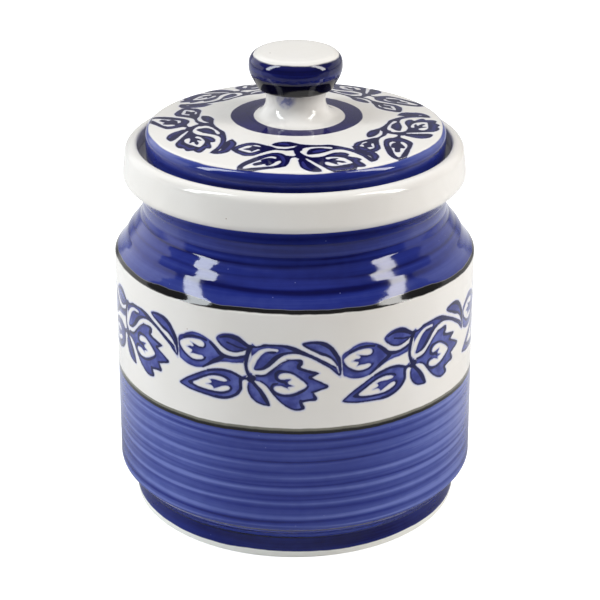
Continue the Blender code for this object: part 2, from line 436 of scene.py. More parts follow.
def glossy(tree, place, colour):
    """Finishes a glaze: a fired gloss, a little uneven, with the skin's slight waves."""
    shader = tree.nodes["Principled BSDF"]
    tree.links.new(colour, shader.inputs["Base Color"])
    uneven = rise(tree, cloud(tree, place, *GLOSS_CLOUDS), *GLAZE_GLOSS)
    tree.links.new(uneven, shader.inputs["Roughness"])
    skin = add(tree, "Bump", ("Height", cloud(tree, place, *SKIN_CLOUDS)), ("Strength", SKIN_STRENGTH),
               ("Distance", SKIN_WAVES))
    tree.links.new(skin.outputs[0], shader.inputs["Normal"])
    return shader


def unglazed(tree, place, shader, bare):
    """Rough dry clay where bare is 1, over what the shader already has."""
    colour = shader.inputs["Base Color"].links[0].from_socket
    roughness = shader.inputs["Roughness"].links[0].from_socket
    clay = blend(tree, cloud(tree, place, *CLAY_CLOUDS), BARE_CLAY)
    tree.links.new(mix(tree, bare, colour, clay), shader.inputs["Base Color"])
    dry = plus(tree, roughness, times(tree, bare, CLAY_ROUGHER))
    tree.links.new(dry, shader.inputs["Roughness"])


def jar_glaze():
    """White glaze with brushed cobalt bands by height on the outside, painted light at their sides, and
    bare clay underneath.
    """
    material, tree = new_material("jar_glaze")
    coords = add(tree, "TexCoord")
    place = coords.outputs["Object"]
    parts, height = parts_of(tree, place)
    sideways = scaled(tree, place, (1, 1, 0))
    facing = add(tree, "VectorMath", (0, coords.outputs["Normal"]), (1, sideways), operation="DOT_PRODUCT")
    outside = calc(tree, "GREATER_THAN", facing.outputs["Value"], 0.0)

    # The height as the hand painted it.
    hand = plus(tree, height, plus(tree, *(drift(tree, sideways, *waves) for waves in BAND_WANDER)))

    # The rings' darkness: pooled glaze, with painted shade under the collar and on the foot, and a painted
    # highlight on the ledge.
    pooled = kept_value(tree, "pooled")
    tone = plus(tree, brushed(tree, place, pooled), rise(tree, height, *THIN_DOWN))
    # Painted light: the cobalt is lighter to the left and right, where the side lamps fall.
    aside = calc(tree, "MAXIMUM", rise(tree, parts["X"], *THIN_LEFT), rise(tree, parts["X"], *THIN_RIGHT))
    for limits in (SIDES_ON_SHOULDER, SIDES_ON_FOOT):
        aside = times(tree, aside, rise(tree, height, *limits))
    blue = speckled(tree, place, cobalt(tree, plus(tree, tone, aside)), COBALT_SPECKS)
    line = blend(tree, cloud(tree, place, *LINE_CLOUDS), DARK_LINE)
    soft_line = mix(tree, SOFT_LINE_SHARE, line, screen(*SOFT_LINE))

    colour = white_glaze(tree, place)
    sideward = calc(tree, "ABSOLUTE", parts["X"])
    # Partly painted reflection: the dark line is wider at the sides.
    wider = times(tree, rise(tree, sideward, *LINE_WIDENS), rise(tree, sideward, *LINE_NARROWS))
    over_line = calc(tree, "SUBTRACT", hand, wider)
    above = rise(tree, over_line, UPPER_LINE[1] - 0.1, UPPER_LINE[1] + 0.2)
    below_neck = rise(tree, hand, NECK_PAINT_TOP + 0.3, NECK_PAINT_TOP - 0.1)
    colour = mix(tree, times(tree, above, below_neck), colour, blue)
    upper = times(tree, rise(tree, hand, UPPER_LINE[0] - 0.2, UPPER_LINE[0] + 0.2),
                  rise(tree, over_line, UPPER_LINE[1] + 0.3, UPPER_LINE[1] - 0.1))
    colour = mix(tree, upper, colour, line)
    colour = mix(tree, rise(tree, hand, LOWER_LINE[1] + 0.1, LOWER_LINE[1] - 0.3), colour, soft_line)
    colour = mix(tree, rise(tree, hand, LOWER_LINE[1] - 0.6, LOWER_LINE[1] - 1.4), colour, line)
    colour = mix(tree, rise(tree, hand, LOWER_LINE[0] + 0.2, LOWER_LINE[0] - 0.2), colour, blue)
    colour = mix(tree, outside, white_glaze(tree, place), colour)

    shader = glossy(tree, place, colour)
    low_edge = rise(tree, hand, BARE_EDGE + 0.3, BARE_EDGE)
    hollow = calc(tree, "LESS_THAN", height, FOOT_HOLLOW_TOP)
    under = times(tree, hollow, calc(tree, "SUBTRACT", 1.0, outside))
    unglazed(tree, place, shader, calc(tree, "MAXIMUM", low_edge, under))
    return material


def inside_radius(height):
    """The radius behind which the inside of the wall lies."""
    drawn_in = SHOULDER_DRAW * np.maximum(0, height - SHOULDER_START)
    return np.maximum(INSIDE_RADIUS - drawn_in, NECK_INSIDE_RADIUS)


def outer_wall(point):
    """True on the outside of the wall, from the ledge over the foot up to the lip of the collar."""
    return point.x > inside_radius(point.z)


jar_body = turned_piece(JAR_CORNERS, outer_wall, "glazed_jar_body", jar_glaze())
points = points_of(jar_body)
radius, angle = round_axis(points)
on_wall = (radius > inside_radius(points[:, 2])) & (points[:, 2] < RINGS_TOP)
on_wall |= (radius > FOOT_INSIDE_RADIUS) & (points[:, 2] < LEDGE_TOP)
move_out(points, radius, np.where(on_wall, wall_move(angle, points[:, 2]), 0.0))
move_points(jar_body, points)
# Pooled glaze in the rings, with painted shade under the collar and on the foot, and a painted highlight
# along the ledge's edge.
pooled = throwing_rings(angle, points[:, 2], WALL_RINGS)[1]
keep_values(jar_body, "pooled", np.where(on_wall, pooled, 0.0))
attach(jar_body, "jar")
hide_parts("jar_body")


# Printed border
# A floral border printed under the glaze in seven equal repeats round the white band.
# Each repeat is a thin skin on the wall, with its pale blue wash and its dark outlines.
# The print in mm: the radius that it is drawn for, the left edge of a repeat, its lowest and highest
# row, and the squares of its skin.
REPEATS = 7
PRINT_RADIUS = 62.0
REPEAT_WIDTH = math.tau * PRINT_RADIUS / REPEATS
PRINT_LEFT = -40.9
PRINT_ROWS = (57.6, 84.4)
PRINT_GRID = 0.29
SKIN_HEIGHT = 0.015 * MM
# Past this share of its size from the middle a skin sinks into the glaze, by this share of its height.
SKIN_EDGE = 0.499
SKIN_SUNK = 0.5
# How far the printer's transfer wandered up or down round the jar: angle in degrees, mm.
PRINT_LIFT = (
    (-180, 0), (-110, 0.3), (-47, 1.1), (-24, 0.5), (-10, 0), (14, -1.0), (26, -0.8), (40, -0.3),
    (57, 0.4), (110, 0.2), (180, 0),
)
# Shapes filled with wash: across and up in mm. A point given twice is a sharp corner.
WASH_SHAPES = (
    (-40.4, 78.8, -38, 80.4, -36, 81.5, -33.5, 81.95, -31, 81.5, -29, 80.7, -27.2, 79.7, -25.8, 78.3,
     -24.8, 77, -23.6, 76, -22, 75.5, -20, 75.35, -18, 75.6, -16.7, 76.1, -15.6, 76.6, -15.6, 76.6,
     -16.5, 73.7, -16.5, 73.7, -18, 73.45, -20, 73.3, -22, 73.4, -24.5, 73.1, -26.5, 72.3, -28.5, 71.3,
     -30.3, 70.3, -32, 69.8, -34, 69.6, -36, 69.8, -37.5, 70.2, -39, 71, -40, 71.75, -40.3, 75),
    (-40.3, 62.5, -38.5, 64.2, -36.5, 65.6, -34, 67, -31.5, 68.4, -29, 69.6, -27, 70.2, -25, 70.6,
     -23, 70.75, -21, 70.5, -19.5, 70, -18, 69.2, -17.2, 68.9, -16.7, 69, -15.2, 69.8, -15.2, 69.8,
     -16.2, 68, -17, 67.2, -17.1, 65.5, -17.1, 64.3, -17.6, 63.3, -18.5, 62.2, -20, 61.2, -22, 60.4,
     -24, 60.05, -26.5, 60, -29, 60.3, -32, 60.6, -35, 60.9, -37.5, 61.4, -39.3, 62),
    (-25.9, 81.3, -25.3, 82.3, -24, 83.1, -22, 83.5, -20, 83.4, -18, 82.7, -16.5, 81.6, -15, 80.5,
     -14, 80.1, -14.2, 79.9, -14.6, 79, -15.2, 78.6, -16.5, 78.1, -18, 77.3, -19.5, 77, -21, 77.2,
     -22.5, 77.8, -24, 78.9, -25.2, 80),
    (-14, 80.1, -12.5, 80.1, -11, 80.5, -9.5, 81, -7.5, 81.2, -5, 81.3, -3, 81.3, -1, 80.8, 0.5, 80.2,
     2.5, 79.4, 4.5, 78.4, 6.5, 77.3, 8.5, 76.1, 10, 75.1, 11, 74.4, 12, 73.8, 13.3, 72.8, 14.6, 69.5,
     14.6, 69.5, 14, 69.9, 12.5, 71.3, 11, 72.9, 9, 74.2, 7, 75.6, 5, 76.8, 3, 77.7, 1.5, 78.2, 0, 78.4,
     -2, 78.1, -3.5, 77.5, -5, 76.6, -6.5, 75.2, -8, 73.8, -9.5, 72.7, -11, 72, -11.8, 71.7, -12.9, 71.7,
     -13.2, 72.3, -12.8, 73.5, -12, 75.2, -10.8, 77, -9.5, 78.2, -8, 78.8, -6.3, 78.6, -5.2, 79.2,
     -7.5, 79.8, -9.8, 79.5, -11.9, 78.3, -13.6, 76.2, -14.9, 74, -15.3, 72.3, -14.7, 70.6, -13.7, 69.8),
    (-12.5, 69.5, -11.5, 69.7, -10, 70, -9, 70.4, -7.8, 71.3, -6.5, 72.7, -5, 74, -3.5, 75.2, -2, 76,
     -0.5, 76.4, 1, 76.5, 2.2, 76.3, 2.6, 75.7, 2.2, 74.9, 1.8, 74, 2, 73.4, 3, 73.1, 5, 72.4, 6.8, 71.8,
     7.8, 71.3, 7.8, 71.3, 7, 70.9, 6, 70.3, 5.6, 69.9, 5.6, 69.9, 7, 69, 8.5, 68.2, 10, 67.2,
     10.6, 66.5, 10.6, 66.5, 10.2, 65.9, 9, 65.5, 7.5, 65.1, 5.9, 64.6, 5.9, 64.6, 6.3, 63.9, 6.9, 62.9,
     7.1, 62.1, 7.1, 62.1, 6.6, 61.7, 5.5, 61.7, 4, 61.6, 2.3, 61.3, 2.3, 61.3, 2.6, 60.5, 3.1, 59.6,
     3.1, 59, 2.4, 58.6, 1, 58.3, -0.5, 58.4, -2, 59.1, -3.5, 60.1, -5, 61.3, -6.5, 62.9, -7.8, 64.6,
     -9, 66.2, -10.2, 67.2, -11.5, 67.8, -12.8, 68.1),
    (-14.8, 67.3, -15.3, 66.5, -15.4, 65, -15, 63.5, -14.2, 62, -13, 60.8, -11.5, 59.9, -10, 59.5,
     -8.7, 59.4, -8, 59.5, -8, 59.5, -8.1, 60.3, -8.5, 61.5, -9.2, 63, -10.2, 64.5, -11.3, 65.8,
     -12.5, 66.9, -13.3, 67.6),
    (2.3, 81.7, 2.8, 82.3, 4.5, 82.6, 6.5, 82.65, 8.5, 82.2, 10, 81.4, 11, 80.9, 12, 80, 13, 78.8,
     14, 77.3, 14.7, 76, 14.9, 74.5, 15.1, 72, 15, 70.5, 14.6, 69.5, 14.6, 69.5, 13.9, 72.6, 13.6, 73.5,
     13, 74.6, 12, 75.9, 11, 76.7, 10, 77, 8.5, 77.6, 6.5, 78.8, 4.5, 79.9, 3, 80.9),
)
# Places left white inside them.
WHITE_SHAPES = (
    (-39.8, 77.2, -38.5, 78.3, -37, 79, -35, 79.5, -33, 79.65, -31.5, 79.5, -30.4, 78.9, -30.2, 78,
     -30.6, 77.3, -31.5, 77.1, -32.7, 77.3, -34, 77.7, -35.3, 78.1, -35.3, 78.1, -34.3, 77.2,
     -34.7, 76.6, -35.8, 76.6, -36.9, 76.1, -36.9, 76.1, -35.8, 75.7, -34.9, 75.3, -35.4, 74.1,
     -35.4, 74.1, -34.5, 74.3, -33, 74.2, -31.5, 74.2, -30.8, 73.9, -30.6, 73.4, -31.2, 72.9,
     -32.5, 72.5, -34.5, 72.3, -36, 72.9, -37.5, 73.8, -38.7, 74.8, -39.5, 76),
    (-34.7, 64, -33, 65.1, -31, 66.3, -29, 67.3, -27.5, 67.8, -25.5, 68.05, -23.5, 67.7, -22.4, 67.1,
     -22.2, 66.7, -23, 66.4, -24.5, 66.4, -26, 66.6, -27.5, 66.6, -28.4, 66.3, -28.4, 66.3, -27.8, 65.3,
     -29.5, 64.5, -29.5, 64.5, -27.8, 64.3, -26.9, 63.2, -26.9, 63.2, -26.2, 63.6, -25, 64.2,
     -23.5, 64.8, -22, 64.9, -21.3, 64.4, -21.5, 63.7, -22.5, 63.1, -24, 62.7, -26, 62.5, -28.5, 62.5,
     -31, 62.7, -33, 62.9, -34.3, 63.3),
    (3.8, 67.2, 3, 68.4, 1.8, 69.4, 0.3, 70.5, -1.2, 71.3, -3, 71.5, -4.5, 71.1, -5.2, 70.3, -5.2, 69.6,
     -4.6, 69.2, -3.5, 69.2, -2.3, 69.4, -1.3, 69.4, -1.6, 68.9, -2.2, 68.4, -1.9, 67.7, -1, 67.3,
     -0.5, 67, -0.5, 67, -1.3, 66.8, -2.2, 66.6, -2, 65.9, -2, 65.9, -3, 66.3, -4.2, 66.8, -5.3, 66.8,
     -6.3, 66.6, -6.8, 65.9, -6.4, 65.1, -5.2, 64.4, -3.7, 64, -2, 64.1, -0.2, 64.6, 1.4, 65.4, 2.8, 66.2),
)
# Brush lines: across, up and width in mm.
WHITE_LINES = (
    (-5.6, 79.3, 0.7, -7.5, 79.35, 0.9, -9.5, 79, 1, -11.3, 77.9, 1.2, -12.9, 76.2, 1.5, -14, 74, 1.7,
     -14.3, 72.4, 1.8, -13.6, 71, 1.4, -12, 70.6, 1.3, -10.3, 71.1, 1.4, -8.7, 72.2, 1.3, -7.2, 73.6, 1.3,
     -5.6, 75.2, 1.3, -4, 76.5, 1.3, -2.2, 77.3, 1.4, 0, 77.6, 1.6, 2, 77.3, 1.5, 4, 76.4, 1.2),
)
DARK_LINES = (
    (-39.9, 75.6, 0.6, -38.5, 74.1, 0.6, -37, 72.9, 0.6, -35, 72.1, 0.6, -33, 72, 0.6, -31.5, 72.3, 0.6,
     -30.4, 73, 0.6, -29.9, 73.8, 0.6),
    (-38, 79.2, 0.8, -35, 80.3, 0.8, -32, 80.4, 0.8, -29.5, 79.9, 0.8),
    (-28, 79.5, 0.9, -26, 77.8, 1.3, -24.3, 76, 1.5, -22, 75.3, 1.2, -20, 75.1, 1, -18, 75.4, 0.9,
     -15.8, 76.2, 0.9),
    (-31, 70.2, 0.5, -29, 71.5, 0.9, -27, 73, 1.3, -25, 74.2, 1.5, -23.5, 75.2, 1.3),
    (-29.9, 78.6, 0.5, -29.8, 77.8, 0.5, -30.5, 77.1, 0.5, -31.8, 76.9, 0.5, -33, 77.1, 0.5,
     -34.3, 77.5, 0.5),
    (-35.8, 63.6, 1.4, -35.6, 63.6, 1.4),
    (-36.5, 63.6, 0.7, -34, 62.8, 0.7, -31, 62.3, 0.7, -28, 62.1, 0.7, -25, 62.1, 0.7, -23, 62.5, 0.7,
     -21.4, 63.3, 0.7, -20.8, 64.3, 0.7, -21.2, 64.9, 0.7),
    (-36, 63.9, 0.6, -33, 65.6, 0.6, -30, 67.3, 0.6, -28, 68.2, 0.6, -26, 68.6, 0.6, -24, 68.4, 0.6,
     -22.2, 67.8, 0.6, -21.3, 67, 0.6),
    (-40, 62.7, 0.4, -37, 65, 0.4, -33, 67.4, 0.4, -30, 69, 0.4),
    (-29, 69.4, 0.9, -26, 70.2, 0.9, -23, 70.4, 0.9, -20.5, 69.9, 0.9, -18.5, 69, 0.9, -17, 68.3, 0.9,
     -15, 68.3, 0.9),
    (-17.6, 68, 1.1, -17.7, 66.5, 1.1, -17.6, 64.8, 1, -18.2, 63.3, 1, -19.5, 62, 1, -21.5, 61, 0.9,
     -24, 60.5, 0.9, -26.3, 60.6, 0.9),
    (-26.3, 60.4, 0.35, -30, 60.8, 0.35, -35, 61.2, 0.35, -39.5, 62.2, 0.35),
    (-24.5, 81.8, 0.5, -22.5, 82.4, 0.9, -20.5, 82.4, 1.4, -18.5, 81.8, 1.6, -17, 81, 1.4, -15.5, 80, 1.2,
     -14.2, 79.5, 1),
    (-25, 80.3, 0.5, -23.5, 78.7, 0.5, -21.5, 77.6, 0.5, -19.5, 77.3, 0.5, -17.5, 77.7, 0.5,
     -15.8, 78.5, 0.5, -14.8, 79, 0.5),
    (-22, 80.3, 0.6, -20, 79.6, 0.6, -18.5, 79, 0.6, -16.5, 78.8, 0.6),
    (-14.55, 68.3, 2.2, -13.65, 68.7, 2.2),
    (-14.2, 79.6, 1.6, -15.1, 77.3, 1.5, -15.6, 75.2, 1.4, -15.8, 73.2, 1.2, -15.6, 71.6, 1.1,
     -15.1, 70.2, 1.2, -14.5, 69.2, 1.4),
    (-14, 79.7, 0.8, -11.5, 79.9, 0.5, -9.8, 80.6, 0.9, -7.5, 80.8, 0.7, -5.5, 80.9, 0.5, -3, 80.8, 1,
     -0.5, 80.1, 1.5, 1.5, 79.3, 1.3, 3.5, 78.4, 0.9, 6, 77.1, 0.6, 8.5, 75.7, 0.5, 11, 74.2, 0.45,
     13.3, 72.6, 0.4),
    (-12.5, 71.9, 0.4, -10.8, 72.2, 0.8, -9.2, 73.2, 1.2, -7.8, 74.6, 1.5, -6.6, 76, 1.6, -5.3, 77.2, 1.4,
     -3.5, 78.2, 0.9, -1.5, 78.7, 0.6, 0.5, 78.8, 0.9, 2, 78.6, 1, 4, 77.7, 0.5, 7, 76, 0.4, 10, 74, 0.4,
     12.5, 71.9, 0.4, 14.3, 70.1, 0.5),
    (-8.5, 78.3, 0.5, -7.2, 78.4, 0.9, -6, 78.6, 0.5),
    (-3, 72.1, 0.7, -4.8, 72, 0.9, -5.9, 71.2, 1, -6.1, 70, 0.9, -5.7, 69, 0.9, -4.5, 68.5, 0.9,
     -3.2, 68.3, 1, -2.8, 67.6, 0.8),
    (-5.6, 67.6, 0.6, -6.9, 67.2, 0.8, -7.5, 66.2, 0.9, -7.2, 65, 0.9, -6, 64, 0.8, -4.2, 63.5, 0.8,
     -2, 63.5, 0.8, 0.2, 64, 0.8, 2, 65, 0.8, 3.5, 66, 0.7, 4.2, 66.9, 0.5),
    (-3, 72.1, 0.7, -1.2, 71.8, 0.6, 0.8, 70.8, 0.5, 2.6, 69.4, 0.4, 4, 67.9, 0.4),
    (-2.5, 76.1, 0.4, 0, 76.2, 0.5, 1.6, 75.9, 1.2, 1.9, 75, 1.4, 1.3, 74.2, 1.3, 1.4, 73.4, 1.2,
     3, 72.7, 0.9, 5, 72, 1, 6.6, 71.4, 1.1, 7.4, 71.3, 0.6),
    (6.8, 71, 0.6, 5.4, 70.4, 0.8, 4.9, 70, 1.2, 5.7, 69.4, 0.6, 7.5, 68.4, 0.5, 9.5, 67.2, 0.6,
     10.3, 66.5, 1, 9.5, 65.9, 0.7, 8, 65.5, 0.7, 6.5, 65, 0.7, 5.5, 64.8, 0.6),
    (5.9, 64.4, 0.5, 6.2, 63.4, 1, 6.6, 62.4, 1.2, 5.5, 62.1, 0.9, 4, 62, 0.7, 2.5, 61.7, 0.8,
     1.8, 61.8, 0.9),
    (1.8, 61.4, 1, 2.2, 60.3, 1.2, 2.6, 59.4, 1.1, 1.8, 58.9, 0.7, 0, 58.7, 0.5, -2, 59.4, 0.4,
     -4.5, 61.2, 0.35, -7, 64, 0.35, -9, 66.6, 0.3, -11, 68, 0.4),
    (-12.5, 69.8, 0.7, -10.5, 69.9, 0.8, -9, 70.5, 0.7, -7.5, 71.8, 0.7, -6, 73.3, 0.5, -4, 75, 0.4,
     -2, 76, 0.4),
    (-13.8, 67.6, 1.2, -12.6, 66.2, 1.2, -11.4, 64.8, 1.3, -10.3, 63.2, 1.5, -9.4, 61.6, 1.4,
     -8.6, 60.2, 1, -8.2, 59.7, 0.5),
    (-15.1, 66, 0.3, -15, 64, 0.3, -14, 62, 0.3, -12.3, 60.5, 0.35, -10, 59.8, 0.5, -8.5, 59.7, 0.7),
    (3, 81.8, 0.5, 5, 82.1, 0.7, 7.5, 82, 1.1, 9.5, 81.3, 1.5, 11.3, 80, 1.5, 12.6, 78.2, 1.5,
     13.8, 76, 1.4, 14.4, 74, 1, 14.6, 72, 0.6, 14.6, 70.2, 0.5),
    (2.8, 81.4, 0.4, 4.5, 80.3, 0.6, 6.5, 79.2, 0.8, 8.3, 78.2, 1, 10, 77.5, 0.9, 11.5, 76.4, 0.7,
     12.8, 75, 0.6, 13.6, 73.5, 0.5),
)
# How far each part of the repeat sits above or below the points: across, mm.
REPEAT_SETTLE = ((-41, -1.2), (-25, -0.6), (-18, 0), (3, 0.1), (14.6, 0.8))
# Steps of a curve between two points; the thinnest line and the farthest distance kept, in mm.
SMOOTH_STEPS = 4
TINY = 1e-9
THINNEST_LINE = 0.5
FAR = 9.0
BLED_HALO = (150, 160, 218)
BORDER_HALO = 0.45
BORDER_WASHES = ((84, 94, 166), (56, 64, 138), (32, 38, 108))
BORDER_LINES = ((4, 6, 48), (22, 28, 88))
# Edges of the print, by distance in mm, below 0 inside: how they wander, where the ink bled out,
# where it gathered inside and how much tone that adds, and where wash and lines set in.
PRINT_WANDER = (900, 2, 0.25)
BLED_OUT = (0.75, 0.05)
GATHERED = (-1.2, -0.1, 0.0, 0.35)
WASH_EDGE = (0.2, -0.18)
LINE_EDGE = (0.2, -0.16)
# Clouds in the wash and the tone that they give, the tones of its three blues, and clouds in the lines.
WASH_CLOUDS = (160, 4)
WASH_TONE = (0.3, 0.7, 0.15, 0.75)
WASH_STOPS = (0.2, 0.5, 0.9)
INK_CLOUDS = (240, 3)


def smooth_line(points, closed):
    """Points on the smooth curve through given ones; a point given twice stays a corner."""
    if closed:
        before, after = points[-1:], points[:2]
    else:
        before, after = points[:1], points[-1:]
    run = np.concatenate((before, points, after))
    first, second, third, fourth = run[:-3], run[1:-2], run[2:-1], run[3:]
    steps = []
    for step in range(SMOOTH_STEPS):
        share = step / SMOOTH_STEPS
        steps.append(second + 0.5 * share * (
            third - first + share * (2 * first - 5 * second + 4 * third - fourth
                                     + share * (3 * second - first - 3 * third + fourth))))
    line = np.stack(steps, axis=1).reshape(-1, points.shape[1])
    return line if closed else np.concatenate((line, points[-1:]))


def gap_to_line(across, up, line):
    """Distance to a line in mm, less half its width where it has one."""
    start, end = line[:-1], line[1:]
    run = end - start
    length = np.maximum(run[:, 0] ** 2 + run[:, 1] ** 2, TINY)
    aside, above = across[:, None] - start[:, 0], up[:, None] - start[:, 1]
    share = np.clip((aside * run[:, 0] + above * run[:, 1]) / length, 0, 1)
    gap = np.hypot(aside - share * run[:, 0], above - share * run[:, 1])
    if line.shape[1] > 2:
        gap = gap - (start[:, 2] + share * run[:, 2]) / 2
    return gap.min(axis=1)


def gap_to_shape(across, up, outline):
    """Distance to a closed outline in mm, below zero inside it."""
    ring = np.concatenate((outline, outline[:1]))
    start, end = ring[:-1], ring[1:]
    crosses = (start[:, 1] > up[:, None]) != (end[:, 1] > up[:, None])
    climb = np.where(end[:, 1] == start[:, 1], TINY, end[:, 1] - start[:, 1])
    meets = start[:, 0] + (up[:, None] - start[:, 1]) * (end[:, 0] - start[:, 0]) / climb
    inside = (crosses & (across[:, None] < meets)).sum(axis=1) % 2 == 1
    gap = gap_to_line(across, up, ring)
    return np.where(inside, -gap, gap)


def least_gap(across, up, rows, numbers, settle=((0, 0),)):
    """Least distance in mm to any closed shape, 2 numbers a point, or to any brush line, 3 a point."""
    least = np.full(len(across), FAR)
    for row in rows:
        points = np.array(row, dtype=float).reshape(-1, numbers)
        points[:, 1] += np.interp(points[:, 0], *zip(*settle))
        if numbers == 2:
            gap = gap_to_shape(across, up, smooth_line(points, True))
        else:
            points[:, 2] = np.maximum(points[:, 2], THINNEST_LINE)
            gap = gap_to_line(across, up, smooth_line(points, False))
        least = np.minimum(least, gap)
    return least


def border_gaps(across, up):
    """Distances to the wash and to the dark lines of one repeat, in mm."""
    wash = least_gap(across, up, WASH_SHAPES, 2, REPEAT_SETTLE)
    white = np.minimum(least_gap(across, up, WHITE_SHAPES, 2, REPEAT_SETTLE),
                       least_gap(across, up, WHITE_LINES, 3, REPEAT_SETTLE))
    return np.maximum(wash, -white), least_gap(across, up, DARK_LINES, 3, REPEAT_SETTLE)


def skin(name, wide, high, material):
    """A sheet of fine squares, one unit across and up."""
    bm = bmesh.new()
    bmesh.ops.create_grid(bm, x_segments=wide, y_segments=high, size=0.5)
    return piece_from(bm, name, material)


def feathered(points):
    """Height of a skin over the wall in metres: its upper and lower edges sink into the glaze."""
    return np.where(np.abs(points[:, 1]) > SKIN_EDGE, -SKIN_SUNK, 1.0) * SKIN_HEIGHT


def printed_glaze(name, washes, lines, halo, over=None):
    """White glaze with a bled halo, a clouded blue wash and dark outlines; over paints on top of them."""
    material, tree = new_material(name)
    place = add(tree, "TexCoord").outputs["Object"]
    wash = kept_value(tree, "wash")
    dark = kept_value(tree, "dark")
    colour = white_glaze(tree, place)
    ragged = drift(tree, place, *PRINT_WANDER)
    wash = plus(tree, wash, ragged)
    dark = plus(tree, dark, ragged)
    bled = rise(tree, calc(tree, "MINIMUM", wash, dark), *BLED_OUT, 0.0, halo)
    colour = mix(tree, bled, colour, screen(*BLED_HALO))
    thick = rise(tree, cloud(tree, place, *WASH_CLOUDS), *WASH_TONE)
    tone = plus(tree, thick, rise(tree, wash, *GATHERED))
    inked = ramp(tree, tone, tuple(zip(WASH_STOPS, (screen(*wash_colour) for wash_colour in washes))))
    colour = mix(tree, rise(tree, wash, *WASH_EDGE), colour, inked)
    line = blend(tree, cloud(tree, place, *INK_CLOUDS), lines)
    colour = mix(tree, rise(tree, dark, *LINE_EDGE), colour, line)
    if over:
        colour = over(tree, place, colour)
    glossy(tree, place, colour)
    return material


border_material = printed_glaze("border_print", BORDER_WASHES, BORDER_LINES, BORDER_HALO)
wide = math.ceil(REPEAT_WIDTH / PRINT_GRID)
high = math.ceil((PRINT_ROWS[1] - PRINT_ROWS[0]) / PRINT_GRID)
for repeat in range(REPEATS):
    border = skin(f"printed_border_{repeat + 1}", wide, high, border_material)
    points = points_of(border)
    across = PRINT_LEFT + (points[:, 0] + 0.5) * REPEAT_WIDTH
    up = PRINT_ROWS[0] + (points[:, 1] + 0.5) * (PRINT_ROWS[1] - PRINT_ROWS[0])
    if repeat == 0:
        wash, dark = border_gaps(across, up)
        for aside in (-REPEAT_WIDTH, REPEAT_WIDTH):
            near_wash, near_dark = border_gaps(across + aside, up)
            wash, dark = np.minimum(wash, near_wash), np.minimum(dark, near_dark)
    keep_values(border, "wash", wash)
    keep_values(border, "dark", dark)
    angle = across / PRINT_RADIUS + math.tau * (repeat - REPEATS // 2) / REPEATS
    degrees = (np.degrees(angle) + 180) % 360 - 180
    height = (up + np.interp(degrees, *zip(*PRINT_LIFT))) * MM
    fallen = (SHOULDER_START - height) / (SHOULDER_START - WALL_FOOT)
    wall = SHOULDER_RADIUS + (WALL_FOOT_RADIUS - SHOULDER_RADIUS) * fallen
    out = wall + wall_move(angle, height) + feathered(points)
    move_points(border, np.stack((out * np.sin(angle), -out * np.cos(angle), height), axis=1))
    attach(border, "jar")


# Lid
# A thrown disc with a low dome, a thick edge that rests on the gallery inside the collar, and a
# flange that drops into the mouth. White glaze, with cobalt round the edge and in a ring.
# The top is flat at its land, out to the land's radius, and then falls by the crown towards the edge.
# Its curve ends at the break, where the rounding of the edge begins.
LID_RADIUS = 0.0505
LID_ASIDE = 0.4 * MM
LID_LAND = 0.1376
LAND_RADIUS = 0.0160
LID_CROWN = 0.0037
LID_CROWN_POWER = 1.2
LID_BREAK = 0.0470
# Rings in the edge, as in the jar's wall.
LID_RINGS = (
    (131.2, 0.3, 0.01, 0.16),
    (128.6, 0.8, 0.02, 0.20),
)
# The paint of the edge and of the ring round the knob: radius, and how far its centre lies to the
# right and to the back, in mm.
EDGE_PAINT = (49.2, 0.4, 0)
RING_INNER = (15.3, 1.6, -2.0)
RING_OUTER = (22.1, 0.7, 0)
RING_BLUE = ((14, 12, 60), (36, 30, 100))
RING_CLOUDS = (60, 3)
LID_WANDER = (45, 3, 1.1)
# The edge's cobalt is lighter at the sides as painted light from the side lamps, by metres from the
# middle, and towards its top, in mm.
EDGE_THIN = (0.018, 0.044, 0.0, 0.30)
EDGE_THIN_UP = (131.4, 133.2)
# What rests on the gallery, below this height in mm, is wiped bare.
REST_EDGE = 124.3
# The edge has fine rows and rings outside these radii, above the rim's foot. The rows are fine again
# above the dome's foot, and above the dome's edge the top follows its curve.
RIM_INSIDE_RADIUS = 0.0500
RIM_RINGS_RADIUS = 0.0495
RIM_FOOT = 0.1245
DOME_FOOT = 0.1325
DOME_EDGE = 0.1340


def lid_top(radius):
    """Height of the lid's top: flat under the knob, then falling to its edge."""
    share = np.clip((radius - LAND_RADIUS) / (LID_RADIUS - LAND_RADIUS), 0, 1)
    return LID_LAND - LID_CROWN * share ** LID_CROWN_POWER


LID_CORNERS = (
    (0, 0.1314, 0),
    (0.0385, 0.1314, 0.0030),
    (0.0385, 0.1170, 0.0010),
    (0.0440, 0.1170, 0.0010),
    (0.0440, 0.1241, 0),
    (LID_RADIUS, 0.1241, 0.0008),
    (LID_RADIUS, 0.1339, 0.0026),
    (LID_BREAK, lid_top(LID_BREAK), 0),
    (LAND_RADIUS, LID_LAND, 0),
    (0, LID_LAND, 0),
)


def away_from(tree, place, aside, back):
    """Distance in mm from an upright line beside the axis, plus the brush's wander."""
    length = gap_from(tree, place, (1 / MM, 1 / MM, 0), (aside, back, 0))
    return plus(tree, length, drift(tree, place, *LID_WANDER))


def ringed(tree, place, colour):
    """Paints the dark ring round the knob over a colour."""
    paint = blend(tree, cloud(tree, place, *RING_CLOUDS), RING_BLUE)
    inner = rise(tree, away_from(tree, place, *RING_INNER[1:]), RING_INNER[0] - 0.2, RING_INNER[0] + 0.2)
    outer = rise(tree, away_from(tree, place, *RING_OUTER[1:]), RING_OUTER[0] + 0.2, RING_OUTER[0] - 0.2)
    return mix(tree, times(tree, inner, outer), colour, paint)


